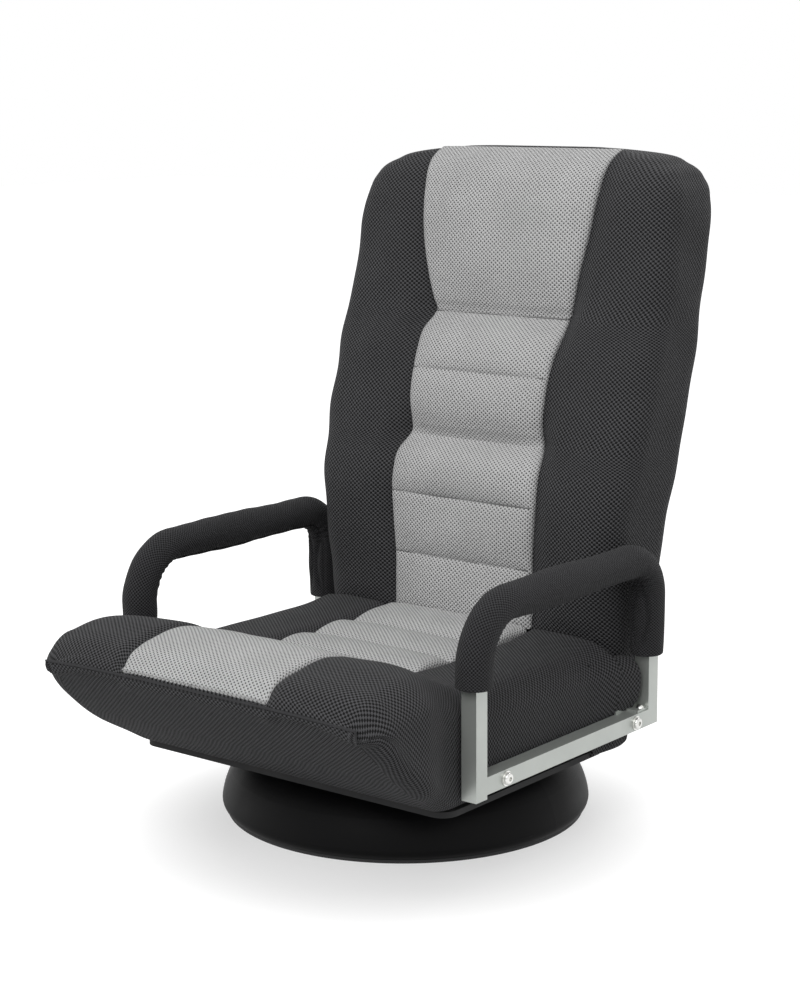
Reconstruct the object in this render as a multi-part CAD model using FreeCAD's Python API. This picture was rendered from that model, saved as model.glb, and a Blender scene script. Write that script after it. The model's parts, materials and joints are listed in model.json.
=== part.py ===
import FreeCAD, Part
import os
from math import cos, pi, sin

V = FreeCAD.Vector
X = V(1, 0, 0)
Y = V(0, 1, 0)
Z = V(0, 0, 1)

# Driving sizes in mm. The chair faces -Y, the origin is on the floor below the swivel axis.
SEAT_HALF = 240.0
BACK_HALF = 242.0
CHEEK = 10.0
CHEEK_GAP = 2.0
CHEEK_REAR = 131.0
CHEEK_TOP = 188.0
PANEL_HALF = 107.0
HEAD_HALF = 132.0
PANEL_DEPTH = 13.0
SEAT_REAR = 102.0
SEAT_STEP = -221.0
NOSE_TIP = -369.0
SEAT_UNDER = 92.0
COVER_SHEET = 7.0
TUBE = 20.0
TUBE_WALL = 1.5
ARM_GAP = 3.0
ARM_FRONT = -198.0
ARM_REAR = 148.0
ARM_TOP = 317.0
ARM_FOOT_FRONT = 107.0
BAR_BOTTOM = 112.0
BEND_FRONT = 63.0
BEND_REAR = 46.0
SLEEVE_R = 22.0
SLEEVE_FRONT_END = 235.0
SLEEVE_REAR_END = 200.0
BOLT_R = 4.0
BOLT_FRONT_Y = -153.0
BOLT_REAR_Y = 110.0
BASE_R = 225.0
BASE_TOP = 80.0
BASE_WALL = 4.0
RIM_HEIGHT = 4.0
MOUTH_GAP = 14.0
RACE_R = 95.0
BALL_R = 4.0
BALL_COUNT = 20
PIN_R = 6.0
RUN_FIT = 0.05
HINGE_Y = 178.0
HINGE_Z = 180.0
LEAF = 5.0
BACK_TUBE_R = 9.5
REAR_PAD = 24.0

HIP_HALF = SEAT_HALF - CHEEK - CHEEK_GAP
HIP_STEP = BACK_HALF - HIP_HALF
HINGE_X = HIP_HALF - 55.0

# Profiles: seat top and underside of the nose (y, z), how far the nose is wider than the seat (y, dx),
# back rear line (z, y), the depth from that line to the front (z, d) and how far its sides draw in (z, dx).
SEAT_TOP = [(102, 215), (60, 213), (-40, 212), (-100, 212.5), (-143, 215), (-175, 224), (-205, 238),
            (-240, 254), (-270, 262), (-300, 264), (-325, 260), (-345, 252), (-358, 241), (-369, 223)]
SEAT_BELLY = [(-221, 92), (-255, 112), (-309, 149), (-346, 182), (-360, 198), (-369, 212)]
NOSE_SWELL = [(-221, 0), (-240, 4), (-262, 13), (-286, 19), (-310, 19), (-333, 18.5), (-346, 16),
              (-357, 9), (-364, 0), (-369, -18)]
BACK_LINE = [(180, 240), (205, 243), (230, 246), (260, 249), (300, 253), (341, 257), (400, 264), (432, 271),
             (517, 290), (583, 306), (650, 321), (727, 338), (752, 340), (772, 333), (785, 317), (791, 299)]
BACK_DEPTH = [(180, 124), (205, 127), (230, 130.5), (260, 135.5), (300, 145), (341, 152), (400, 148), (432, 145),
              (517, 141), (583, 131), (650, 130), (727, 130), (752, 123), (772, 99), (785, 66), (791, 36)]
BACK_DRAW_IN = [(180, HIP_STEP), (300, HIP_STEP), (341, 0.75 * HIP_STEP), (400, 0.2 * HIP_STEP), (432, 0),
                (700, 0), (727, 4), (752, 12), (772, 32), (785, 72), (791, 125)]
SEAT_SEAMS = [101, 26, -49, -115, -147]
BACK_SEAMS = [232, 285, 363, 432, 517, 583]

ARM_X = SEAT_HALF + ARM_GAP + TUBE / 2
BAR_TOP = BAR_BOTTOM + TUBE
RAIL_OUT = SEAT_HALF - 14.0
RAIL_IN = RAIL_OUT - TUBE
RAIL_FRONT = SEAT_STEP + 21.0
RAIL_BACK = BOLT_REAR_Y + 18.0
REAR_RAIL_Y = SEAT_REAR - 26.0
PLATE_TOP = SEAT_UNDER + 4.0
RACE_MID = BASE_TOP + 4.0
RACE_OUT = RACE_R + 17.0
MOUTH_R = RACE_OUT + MOUTH_GAP
SWIVEL_R = MOUTH_R - 6.0
BAR_YS = (25.0 - RACE_R, RACE_R - 25.0)
ARM_INNER = ARM_X - TUBE / 2
ARM_OUTER = ARM_X + TUBE / 2
BAR_MID = BAR_BOTTOM + TUBE / 2


def at(table, t):
    """Value of a profile table at t, straight between its rows."""
    rows = sorted(table)
    if t <= rows[0][0]:
        return rows[0][1]
    for (a, p), (b, q) in zip(rows, rows[1:]):
        if t <= b:
            return p + (q - p) * (t - a) / (b - a)
    return rows[-1][1]


def box(x0, x1, y0, y1, z0, z1):
    return Part.makeBox(x1 - x0, y1 - y0, z1 - z0, V(x0, y0, z0))


def rod(r, x, y, z, length, axis=Z):
    return Part.makeCylinder(r, length, V(x, y, z), axis)


def ring(r_out, r_in, z, height):
    return rod(r_out, 0, 0, z, height).cut(rod(r_in, 0, 0, z - 1, height + 2))


def slab(points, x0, x1):
    """Polygon in the YZ plane carried from x0 to x1."""
    loop = [V(x0, y, z) for y, z in points + points[:1]]
    return Part.Face(Part.makePolygon(loop)).extrude(V(x1 - x0, 0, 0))


def hexagon(across, x, y, z, height, axis):
    """Hexagonal prism along X or Z."""
    r = across / 3 ** 0.5
    turns = [k * pi / 3 for k in range(7)]
    if axis is X:
        loop = [V(x, y + r * cos(a), z + r * sin(a)) for a in turns]
    else:
        loop = [V(x + r * cos(a), y + r * sin(a), z) for a in turns]
    return Part.Face(Part.makePolygon(loop)).extrude(axis * height)


def mirrored(shape):
    return shape.mirror(V(0, 0, 0), X)


def both(shape):
    return [shape, mirrored(shape)]


def joined(shapes):
    return shapes[0].fuse(shapes[1:]).removeSplitter()


def around(shape, count, phase=0.0):
    """Copies of a shape set round the swivel axis."""
    copies = []
    for k in range(count):
        item = shape.copy()
        item.rotate(V(0, 0, 0), Z, phase + 360.0 * k / count)
        copies.append(item)
    return copies


def save(name, shapes):
    solids = []
    for shape in shapes if isinstance(shapes, list) else [shapes]:
        solids.extend(shape.Solids)
    body = solids[0] if len(solids) == 1 else Part.makeCompound(solids)
    body.exportStep("parts/" + name + ".step")


def save_pair(name, shape):
    """The part at +X is the sitter's left one."""
    save(name + "_left", shape)
    save(name + "_right", mirrored(shape))


def rounded(place, u, v0, v1, r0, r1):
    """Closed wire of lines and arcs: width 2u, from v0 (corners r0) to v1 (corners r1)."""
    k = 0.5 ** 0.5
    pieces = []
    starts = [(u - r0, v0 + r0, r0, -1, 1), (u - r1, v1 - r1, r1, 1, 1),
              (r1 - u, v1 - r1, r1, 1, -1), (r0 - u, v0 + r0, r0, -1, -1)]
    ends = []
    for cu, cv, r, up, side in starts:
        low = (cu, cv + up * r)
        out = (cu + side * r, cv)
        mid = (cu + side * r * k, cv + up * r * k)
        ends.append((low, mid, out) if up * side < 0 else (out, mid, low))
    for k in range(4):
        a, m, b = ends[k]
        nxt = ends[(k + 1) % 4][0]
        pieces.append(Part.Arc(place(*a), place(*m), place(*b)).toShape())
        pieces.append(Part.makeLine(place(*b), place(*nxt)))
    return Part.Wire(pieces)


def base_parts():
    """Dished cover, floor pad, plate, lower race and king pin."""
    w = BASE_WALL
    top = BASE_TOP

    def p(r, z):
        return V(r, 0, z)

    outer = [Part.Arc(p(BASE_R - 6, RIM_HEIGHT), p(BASE_R - 1.2, 9), p(BASE_R, 16)).toShape(),
             Part.Arc(p(BASE_R, 16), p(BASE_R - 4, 33), p(BASE_R - 12, top - 30)).toShape(),
             Part.Arc(p(BASE_R - 12, top - 30), p(BASE_R - 26.7, top - 12.4), p(BASE_R - 46, top)).toShape()]
    inner = [p(BASE_R - 46, top), p(MOUTH_R, top), p(MOUTH_R, top - w), p(BASE_R - 46.5 - w / 4, top - w),
             p(BASE_R - 26 - w, top - 12 - w), p(BASE_R - 12 - w, top - 30 - w / 2), p(BASE_R - 4 - w, 32),
             p(BASE_R - w, 16), p(BASE_R - 2 - w, 10), p(BASE_R - 6 - w, RIM_HEIGHT), p(BASE_R - 6, RIM_HEIGHT)]
    section = Part.Face(Part.Wire(outer + [Part.makePolygon(inner)]))
    cover = section.revolve(V(0, 0, 0), Z, 360)
    plate_z = top - w - 4
    screw_r = MOUTH_R + 24
    screw = rod(2.5, screw_r, 0, plate_z, 7).fuse(rod(5, screw_r, 0, plate_z - 3, 3))
    screws = around(screw, 6)
    rivet_r = RACE_R + 12
    rivet = rod(1.8, rivet_r, 0, plate_z, 8).fuse(rod(3.2, rivet_r, 0, plate_z - 1.5, 1.5))
    rivets = around(rivet, 6, 30)
    groove = Part.makeTorus(RACE_R, BALL_R + 0.3, V(0, 0, RACE_MID), Z)
    pin = rod(PIN_R, 0, 0, plate_z, 38).fuse(hexagon(19, 0, 0, plate_z - 6, 6, Z))
    nut = hexagon(19, 0, 0, PLATE_TOP + 2, 9, Z).cut(rod(PIN_R, 0, 0, plate_z, 60))
    race = ring(RACE_OUT, RACE_R - 13, top - w, RACE_MID - 1 - top + w)
    plate = rod(MOUTH_R + 39, 0, 0, plate_z, 4).cut([rod(PIN_R, 0, 0, plate_z - 1, 6)] + screws + rivets)
    save("base_cover", cover.cut(screws))
    save("base_pad", rod(BASE_R - 6, 0, 0, 0, RIM_HEIGHT))
    save("base_plate", plate)
    save("base_plate_screws", screws)
    save("lower_race", race.cut([groove] + rivets))
    save("lower_race_rivets", rivets)
    save("king_pin", pin)
    save("king_washer", ring(16, PIN_R, PLATE_TOP, 2))
    save("king_nut", nut)


def ball_parts():
    """Ring of balls and the cage between the races."""
    ball = Part.makeSphere(BALL_R, V(RACE_R, 0, RACE_MID))
    pocket = rod(BALL_R + 0.05, RACE_R, 0, RACE_MID - 5, 10)
    cage = ring(RACE_R + 9, RACE_R - 9, RACE_MID - 0.6, 1.2)
    save("bearing_balls", around(ball, BALL_COUNT))
    save("ball_cage", cage.cut(around(pocket, BALL_COUNT)))


def swivel_parts():
    """Upper race and swivel plate under the seat frame."""
    low = RACE_MID + 1
    groove = Part.makeTorus(RACE_R, BALL_R + 0.3, V(0, 0, RACE_MID), Z)
    rivet_r = RACE_R + 12
    rivet = rod(1.8, rivet_r, 0, low + 2, PLATE_TOP - low - 2).fuse(rod(3.2, rivet_r, 0, PLATE_TOP, 1.5))
    rivets = around(rivet, 6, 0)
    bolts = []
    for x in (-20, 20):
        for y in BAR_YS:
            head = hexagon(10, x, y, SEAT_UNDER - 4, 4, Z)
            bolts.append(head.fuse(rod(3, x, y, SEAT_UNDER, 18)))
    race = ring(RACE_OUT, RACE_R - 13, low, SEAT_UNDER - low)
    plate = rod(SWIVEL_R, 0, 0, SEAT_UNDER, PLATE_TOP - SEAT_UNDER)
    pin_hole = rod(PIN_R + RUN_FIT, 0, 0, SEAT_UNDER - 1, 10)
    save("upper_race", race.cut([groove] + rivets))
    save("upper_race_rivets", rivets)
    save("swivel_plate", plate.cut([pin_hole] + rivets + bolts))
    save("swivel_bolts", bolts)
    return bolts


def hollow_box(x0, x1, y0, y1, z0, z1, axis):
    """Square tube along X or Y, open at both ends."""
    w = TUBE_WALL
    if axis is X:
        core = box(x0 - 1, x1 + 1, y0 + w, y1 - w, z0 + w, z1 - w)
    else:
        core = box(x0 + w, x1 - w, y0 - 1, y1 + 1, z0 + w, z1 - w)
    return box(x0, x1, y0, y1, z0, z1).cut(core)


def seat_frame(bolts):
    """Rails and cross bars; returns the room they take up in the cushion."""
    z0, z1 = BAR_BOTTOM, BAR_TOP
    side = (RAIL_IN, RAIL_OUT, RAIL_FRONT, RAIL_BACK, z0, z1)
    front = (-RAIL_IN, RAIL_IN, RAIL_FRONT, RAIL_FRONT + TUBE, z0, z1)
    rear = (-RAIL_IN, RAIL_IN, REAR_RAIL_Y, REAR_RAIL_Y + TUBE, z0, z1)
    cross = [(-RAIL_OUT, RAIL_OUT, y - 12, y + 12, PLATE_TOP, z0) for y in BAR_YS]
    holes = [rod(BOLT_R, RAIL_IN - 1, y, BAR_MID, TUBE + 2, X) for y in (BOLT_FRONT_Y, BOLT_REAR_Y)]
    save_pair("seat_side_rail", hollow_box(*side, Y).cut(holes))
    save("seat_front_rail", hollow_box(*front, X))
    save("seat_rear_rail", hollow_box(*rear, X))
    save("seat_cross_bars", [hollow_box(*c, X).cut(bolts) for c in cross])
    return both(box(*side)) + [box(*front), box(*rear)] + [box(*c) for c in cross]


def bent_run(face, foot_front, foot_rear):
    """Armrest path: front upright, bend, top run, bend, rear upright."""
    zf = ARM_TOP - BEND_FRONT
    zr = ARM_TOP - BEND_REAR
    yf = ARM_FRONT + BEND_FRONT
    yr = ARM_REAR - BEND_REAR
    front = face(V(ARM_X, ARM_FRONT, zf), Z)
    rear = face(V(ARM_X, ARM_REAR, zr), Z)
    top = face(V(ARM_X, yf, ARM_TOP), Y)
    return joined([front.extrude(V(0, 0, foot_front - zf)),
                   front.revolve(V(0, yf, zf), -X, 90),
                   top.extrude(V(0, yr - yf, 0)),
                   rear.revolve(V(0, yr, zr), X, 90),
                   rear.extrude(V(0, 0, foot_rear - zr))])


def square(size):
    def face(c, normal):
        h = size / 2
        side = Y if normal is Z else Z
        corners = [c + X * a * h + side * b * h for a, b in ((1, 1), (-1, 1), (-1, -1), (1, -1), (1, 1))]
        return Part.Face(Part.makePolygon(corners))
    return face


def disc(r):
    def face(c, normal):
        return Part.Face(Part.Wire(Part.makeCircle(r, c, normal)))
    return face


def button_bolt(y):
    """Bolt through bar, spacer and rail, with a socket in its round head."""
    head = rod(7, ARM_OUTER + 1.5, y, BAR_MID, 4.4, X)
    rim = [e for e in head.Edges if abs(e.BoundBox.XMin - ARM_OUTER - 5.9) < 1e-6 and len(e.Vertexes) == 1]
    head = head.makeFillet(2.6, [e for e in rim if e.BoundBox.YLength > 1])
    head = head.cut(hexagon(5, ARM_OUTER + 3.4, y, BAR_MID, 4, X))
    return head.fuse(rod(BOLT_R, RAIL_IN - 6, y, BAR_MID, ARM_OUTER + 1.5 - RAIL_IN + 6, X))


def arm_parts():
    """Armrest loops with sleeves and fasteners; returns what passes into the cushion."""
    tube = bent_run(square(TUBE), ARM_FOOT_FRONT, BAR_BOTTOM)
    bore = bent_run(square(TUBE - 2 * TUBE_WALL), ARM_FOOT_FRONT - 1, BAR_BOTTOM - 1)
    sleeve = bent_run(disc(SLEEVE_R), SLEEVE_FRONT_END, SLEEVE_REAR_END)
    bar = hollow_box(ARM_INNER, ARM_OUTER, ARM_FRONT + TUBE / 2, ARM_REAR - TUBE / 2, BAR_BOTTOM, BAR_TOP, Y)
    plug = TUBE / 2 - TUBE_WALL
    plugs = []
    for y, z in ((ARM_FRONT, ARM_FOOT_FRONT), (ARM_REAR, BAR_BOTTOM)):
        plugs.extend(both(box(ARM_X - plug, ARM_X + plug, y - plug, y + plug, z, z + 12)))
    bolts, washers, spacers, nuts, shanks = [], [], [], [], []
    for y in (BOLT_FRONT_Y, BOLT_REAR_Y):
        hole = rod(BOLT_R, RAIL_IN - 20, y, BAR_MID, 120, X)
        shanks.append(hole)
        bolts.extend(both(button_bolt(y)))
        washers.extend(both(rod(8.5, ARM_OUTER, y, BAR_MID, 1.5, X).cut(hole)))
        spacers.extend(both(rod(9, RAIL_OUT, y, BAR_MID, ARM_INNER - RAIL_OUT, X).cut(hole)))
        nuts.extend(both(hexagon(13, RAIL_IN - 6.5, y, BAR_MID, 6.5, X).cut(hole)))
    y0 = ARM_REAR - TUBE / 2 - 18
    y1 = ARM_REAR + TUBE / 2
    tab = slab([(y0 - 22, BAR_BOTTOM), (y1, BAR_BOTTOM), (y1, BAR_TOP + 26), (y0 + 14, BAR_TOP + 22),
                (y0 - 4, BAR_TOP + 8), (y0 - 22, BAR_TOP + 2.5)], ARM_INNER - 3, ARM_INNER)
    foot = box(ARM_INNER - 3, ARM_OUTER - 2, y0 - 2, ARM_REAR - TUBE / 2, BAR_TOP, BAR_TOP + 2.5)
    tab = tab.fuse(foot).removeSplitter()
    screw_x = ARM_X + 2
    screw_y = y0 + 12
    dome = Part.makeSphere(5.5, V(screw_x, screw_y, BAR_TOP + 1))
    dome = dome.common(box(ARM_INNER, ARM_OUTER, y0 - 5, y0 + 30, BAR_TOP + 2.5, BAR_TOP + 20))
    screw = dome.fuse(rod(2.5, screw_x, screw_y, BAR_TOP - 6, 8.5)).removeSplitter()
    save_pair("arm_frame", tube.cut(bore))
    save_pair("arm_pad", sleeve.cut(tube))
    save_pair("arm_bar", bar.cut(shanks + [screw]))
    save("arm_end_plugs", plugs)
    save("arm_bolts", bolts)
    save("arm_washers", washers)
    save("arm_spacers", spacers)
    save("arm_nuts", nuts)
    eye = rod(9, ARM_INNER - 4, BOLT_REAR_Y, BAR_MID, 6, X)
    save("corner_brackets", both(tab.cut([screw, eye])))
    save("corner_screws", both(screw))
    room = [rod(9, RAIL_OUT, y, BAR_MID, 30, X) for y in (BOLT_FRONT_Y, BOLT_REAR_Y)]
    room += [rod(9, RAIL_IN - 8, y, BAR_MID, 8, X) for y in (BOLT_FRONT_Y, BOLT_REAR_Y)]
    room.append(bent_run(disc(SLEEVE_R + 0.5), SLEEVE_FRONT_END - 1, SLEEVE_REAR_END - 1))
    return [m for r in room for m in both(r)]


def hinge_parts():
    """Recliner hinges; returns the seat leaves and the back leaves."""
    hy, hz = HINGE_Y, HINGE_Z
    x1 = HINGE_X - 0.5
    x0 = x1 - LEAF
    rail = REAR_RAIL_Y + TUBE
    arm = slab([(rail, BAR_BOTTOM), (rail, BAR_TOP + 2), (hy - 12, hz + 16), (hy + 12, hz - 16)], x0, x1)
    seat_leaf = joined([rod(28, x0, hy, hz, LEAF, X), arm])
    notches = []
    for k in range(15):
        a = (5 + 11 * k) * pi / 180
        notches.append(rod(2.2, x0 - 1, hy + 28 * cos(a), hz + 28 * sin(a), LEAF + 2, X))
    seat_leaf = seat_leaf.cut(notches + [rod(PIN_R + RUN_FIT, x0 - 1, hy, hz, LEAF + 2, X)])
    tube_x = HINGE_X + LEAF
    blade = slab([(hy - 28, hz), (hy + 28, hz), (hy + 54, hz + 82), (hy + 58, hz + 150),
                  (hy + 36, hz + 150), (hy + 18, hz + 82)], HINGE_X, tube_x)
    back_leaf = joined([rod(28, HINGE_X, hy, hz, LEAF, X), blade])
    back_leaf = back_leaf.cut(rod(PIN_R, HINGE_X - 1, hy, hz, LEAF + 2, X))
    pin = joined([rod(PIN_R, x0 - 0.3, hy, hz, LEAF * 2 + 0.8, X),
                  rod(9.5, x0 - 3.3, hy, hz, 3, X), rod(9.5, tube_x, hy, hz, 3, X)])
    pawl = slab([(hy - 5, hz + 29.5), (hy + 5, hz + 29.5), (hy + 10, hz + 52), (hy - 9, hz + 52)],
                x0 + 0.5, HINGE_X)
    save_pair("hinge_seat_leaf", seat_leaf)
    save_pair("hinge_back_leaf", back_leaf)
    save("hinge_pins", both(pin))
    save("hinge_pawls", both(pawl))
    return both(seat_leaf), both(joined([back_leaf, rod(PIN_R, HINGE_X, hy, hz, LEAF, X)]))


def seat_top(y):
    return at(SEAT_TOP, y)


def channel_edges(points, low, high):
    """Bulging arcs between seams; points give the surface, low and high its seam and crown offsets."""
    edges = []
    for a, b in zip(points, points[1:]):
        mid = (a[0] + b[0]) / 2
        edges.append(Part.Arc(low(a), high((mid, (a[1] + b[1]) / 2)), low(b)).toShape())
    return edges


def seat_panel(seams, crown, drop):
    """Padded grey panel over the seat, sewn down at each seam."""
    def pt(y, lift):
        return V(-PANEL_HALF, y, seat_top(y) + lift)

    edges = []
    for a, b in zip(seams, seams[1:]):
        edges.append(Part.Arc(pt(a, drop), pt((a + b) / 2, crown), pt(b, drop)).toShape())
    marks = [y for y, z in SEAT_TOP if seams[-1] < y < seams[0]]
    floor = [seams[0]] + sorted(marks, reverse=True) + [seams[-1]]
    loop = [pt(seams[0], drop)] + [pt(y, -PANEL_DEPTH) for y in floor] + [pt(seams[-1], drop)]
    section = Part.Face(Part.Wire(edges + [Part.makePolygon(loop)]))
    return section.extrude(V(2 * PANEL_HALF, 0, 0))


def seat_parts(room):
    """Cushion with its wedge front, grey panels and underside cover."""
    def section(y, bottom, inset=0.0):
        top = seat_top(y)
        r = min(34.0, 0.44 * (top - bottom))
        low = min(12.0, 0.44 * (top - bottom))

        def place(u, v):
            return V(u, y, v)

        return rounded(place, SEAT_HALF - inset, bottom, top, low, r)

    body = [section(y, SEAT_UNDER) for y in (SEAT_REAR, 60, -40, -120, -150, -185, SEAT_STEP)]
    wedge = [section(y, at(SEAT_BELLY, y), -swell) for y, swell in NOSE_SWELL]
    cushion = Part.makeLoft(body, True, False).fuse(Part.makeLoft(wedge, True, False))
    cheek = box(SEAT_HALF - CHEEK, SEAT_HALF - 0.5, SEAT_REAR - 12, CHEEK_REAR, SEAT_UNDER + 6, CHEEK_TOP)
    ends = [e for e in cheek.Edges if e.BoundBox.XLength > 1 and e.BoundBox.YMin > SEAT_REAR]
    cushion = cushion.fuse(both(cheek.makeFillet(18, ends)))
    channels = seat_panel(SEAT_SEAMS, 3.0, -3.0)
    lip = NOSE_TIP + 12
    front = seat_panel([SEAT_SEAMS[-1], -200, -250, -300, -335, lip], 2.0, 1.0)
    over = [(y, seat_top(y) - PANEL_DEPTH) for y, z in SEAT_TOP if lip < y < SEAT_SEAMS[0]]
    edge = [(SEAT_SEAMS[0], seat_top(SEAT_SEAMS[0]) - PANEL_DEPTH)] + over
    edge += [(lip, seat_top(lip) - PANEL_DEPTH), (lip, 300), (SEAT_SEAMS[0], 300)]
    recess = slab(edge, -PANEL_HALF, PANEL_HALF)
    pocket = rod(SWIVEL_R + 2, 0, 0, SEAT_UNDER - 1, PLATE_TOP - SEAT_UNDER + 4)
    well = rod(28, 0, 0, SEAT_UNDER - 1, 26)
    cushion = cushion.cut([recess, pocket, well]).cut(room)
    sheet = box(-SEAT_HALF + 8, SEAT_HALF - 8, SEAT_STEP, SEAT_REAR - 6, SEAT_UNDER - COVER_SHEET, SEAT_UNDER)
    sheet = sheet.makeFillet(20, [e for e in sheet.Edges if e.BoundBox.ZLength > 1])
    save("seat_cushion", cushion)
    save("seat_channel_panel", channels)
    save("seat_nose_panel", front)
    save("underside_cover", sheet.cut(rod(MOUTH_R, 0, 0, 0, 200)))


def back_frame_parts():
    """Bent tube in the parting plane of the back; returns frame and straps."""
    x = HINGE_X + LEAF + BACK_TUBE_R
    path = [(at(BACK_LINE, z) - REAR_PAD, z) for z in (HINGE_Z + 84, 341, 690)]
    runs = []
    for side in (-x, x):
        for (ya, za), (yb, zb) in zip(path, path[1:]):
            step = V(0, yb - ya, zb - za)
            runs.append(Part.makeCylinder(BACK_TUBE_R, step.Length, V(side, ya, za), step))
        for y, z in path[1:]:
            runs.append(Part.makeSphere(BACK_TUBE_R, V(side, y, z)))
    y, z = path[-1]
    runs.append(rod(BACK_TUBE_R, -x, y, z, 2 * x, X))
    frame = joined(runs)
    straps = []
    for z in (430, 580):
        (ya, za), (yb, zb) = path[1:]
        y = ya + (yb - ya) * (z - za) / (zb - za)
        straps.append(box(-x, x, y - 2, y + 2, z - 15, z + 15).cut(frame))
    straps = [max(s.Solids, key=lambda part: part.Volume) for s in straps]
    return frame, straps


def back_front(z):
    return at(BACK_LINE, z) - at(BACK_DEPTH, z)


def back_panel(seams, crown, drop, half):
    """Padded grey panel on the front of the back, sewn down at each seam."""
    def pt(z, out):
        return V(-half, back_front(z) - out, z)

    edges = []
    for a, b in zip(seams, seams[1:]):
        edges.append(Part.Arc(pt(a, drop), pt((a + b) / 2, crown), pt(b, drop)).toShape())
    marks = [z for z, y in BACK_LINE if seams[0] < z < seams[-1]]
    floor = [seams[0]] + marks + [seams[-1]]
    loop = [pt(seams[0], drop)] + [pt(z, -PANEL_DEPTH) for z in floor] + [pt(seams[-1], drop)]
    section = Part.Face(Part.Wire(edges + [Part.makePolygon(loop)]))
    return section.extrude(V(2 * half, 0, 0))


def flared(z0, z1):
    """Room in front of the back that widens upwards from the lumbar panel to the head panel's top."""
    corners = [V(-PANEL_HALF, 0, z0), V(PANEL_HALF, 0, z0), V(HEAD_HALF, 0, z1), V(-HEAD_HALF, 0, z1)]
    return Part.Face(Part.makePolygon(corners + corners[:1])).extrude(V(0, 500, 0))


def back_parts(leaves):
    """Back cushion, rear cover and grey panels round the back frame."""
    def section(z):
        rear = at(BACK_LINE, z)
        depth = at(BACK_DEPTH, z)
        front_r = min(34.0, 0.44 * depth)
        rear_r = min(50.0, 0.44 * depth)

        def place(u, v):
            return V(u, v, z)

        return rounded(place, BACK_HALF - at(BACK_DRAW_IN, z), rear - depth, rear, front_r, rear_r)

    zs = [z for z, y in BACK_LINE]
    upper = Part.makeLoft([section(z) for z in zs], True, False)
    half = Part.Face(section(zs[0])).common(box(-300, 300, 0, HINGE_Y, HINGE_Z - 1, HINGE_Z + 1))
    lower = half.Faces[0].revolve(V(0, HINGE_Y, HINGE_Z), X, 180)
    pad = upper.fuse(lower)
    top = zs[-1] + 20
    frame, straps = back_frame_parts()
    slot = rod(66, HINGE_X - 13, HINGE_Y, HINGE_Z, LEAF + 21, X)
    tail = [(at(BACK_LINE, z) - REAR_PAD, z) for z in zs if z <= 727]
    tail += [(tail[-1][0] + 10, top), (600, top), (600, 60), (tail[0][0], 60)]
    rear_side = slab(tail, -300, 300)
    neck = BACK_SEAMS[-1]
    crest = 772
    head_room = flared(neck, crest)
    lumbar = back_panel(BACK_SEAMS, 5.0, -4.0, PANEL_HALF)
    head = back_panel([neck, 650, 727, 752, crest], 2.0, 0.0, HEAD_HALF).common(head_room)

    def recess(z0, z1, half):
        edge = [(back_front(z) + PANEL_DEPTH, z) for z in [z0] + [z for z in zs if z0 < z < z1] + [z1]]
        return slab(edge + [(0, z1), (0, z0)], -half, half)

    recesses = [recess(BACK_SEAMS[0], neck, PANEL_HALF), recess(neck, crest, HEAD_HALF).common(head_room)]
    room = both(slot) + [frame] + straps + leaves
    save("back_cushion", pad.cut([rear_side] + recesses).cut(room))
    save("back_rear_cover", pad.common(rear_side).cut(room))
    save("back_lumbar_panel", lumbar)
    save("back_head_panel", head)
    save("back_frame", frame)
    save("back_straps", straps)


def main():
    os.makedirs("parts", exist_ok=True)
    base_parts()
    ball_parts()
    room = seat_frame(swivel_parts())
    room += arm_parts()
    seat_leaves, back_leaves = hinge_parts()
    seat_parts(room + seat_leaves)
    back_parts(back_leaves)


main()
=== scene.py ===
"""Dressed floor chair: soft goods, finishes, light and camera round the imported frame."""
from __future__ import annotations

import json
import logging
import math
from dataclasses import dataclass
from enum import Enum
from typing import Any

import bpy
import numpy as np
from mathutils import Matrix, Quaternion, Vector


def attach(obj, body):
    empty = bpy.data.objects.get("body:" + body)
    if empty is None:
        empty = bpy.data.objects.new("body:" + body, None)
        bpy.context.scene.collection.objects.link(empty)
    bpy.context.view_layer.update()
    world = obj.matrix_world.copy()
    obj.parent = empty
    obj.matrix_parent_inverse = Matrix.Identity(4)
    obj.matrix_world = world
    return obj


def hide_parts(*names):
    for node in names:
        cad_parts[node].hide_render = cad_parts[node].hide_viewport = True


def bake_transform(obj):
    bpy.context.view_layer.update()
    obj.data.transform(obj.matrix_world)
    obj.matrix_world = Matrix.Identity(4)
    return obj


LOG = logging.getLogger("floor_chair")
Array = np.ndarray
# part of a quarter circle that a closing end runs through, so that its last row stays open
END_TURN = 0.97
# largest corner radius of a section, as a share of its height or depth
ROUND_SHARE = 0.46
# sizes of uneven dye, nap and mottle, in millimetres
CLOUD_MM = 62.5
NAP_MM = 2.381
MOTTLE_MM = 45.455
# radii of sewing thread and piping, in metres
THREAD_R = 0.0009
WELT_R = 0.0015


class Body(str, Enum):
    """The rigid bodies that a piece can ride on."""

    SEAT = "seat"
    BACK = "back"


class Side(int, Enum):
    """Sign of X: the sitter's left is +X."""

    LEFT = 1
    RIGHT = -1


def linear(hex_code: str) -> tuple[float, float, float, float]:
    """Turn an sRGB hex colour into linear RGBA.

    Args:
        hex_code: colour such as "#2b2b2d".

    Returns:
        Linear red, green, blue and an alpha of 1.
    """
    raw = [int(hex_code[i:i + 2], 16) / 255 for i in (1, 3, 5)]
    rgb = [c / 12.92 if c <= 0.04045 else ((c + 0.055) / 1.055) ** 2.4 for c in raw]
    return rgb[0], rgb[1], rgb[2], 1.0


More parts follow.
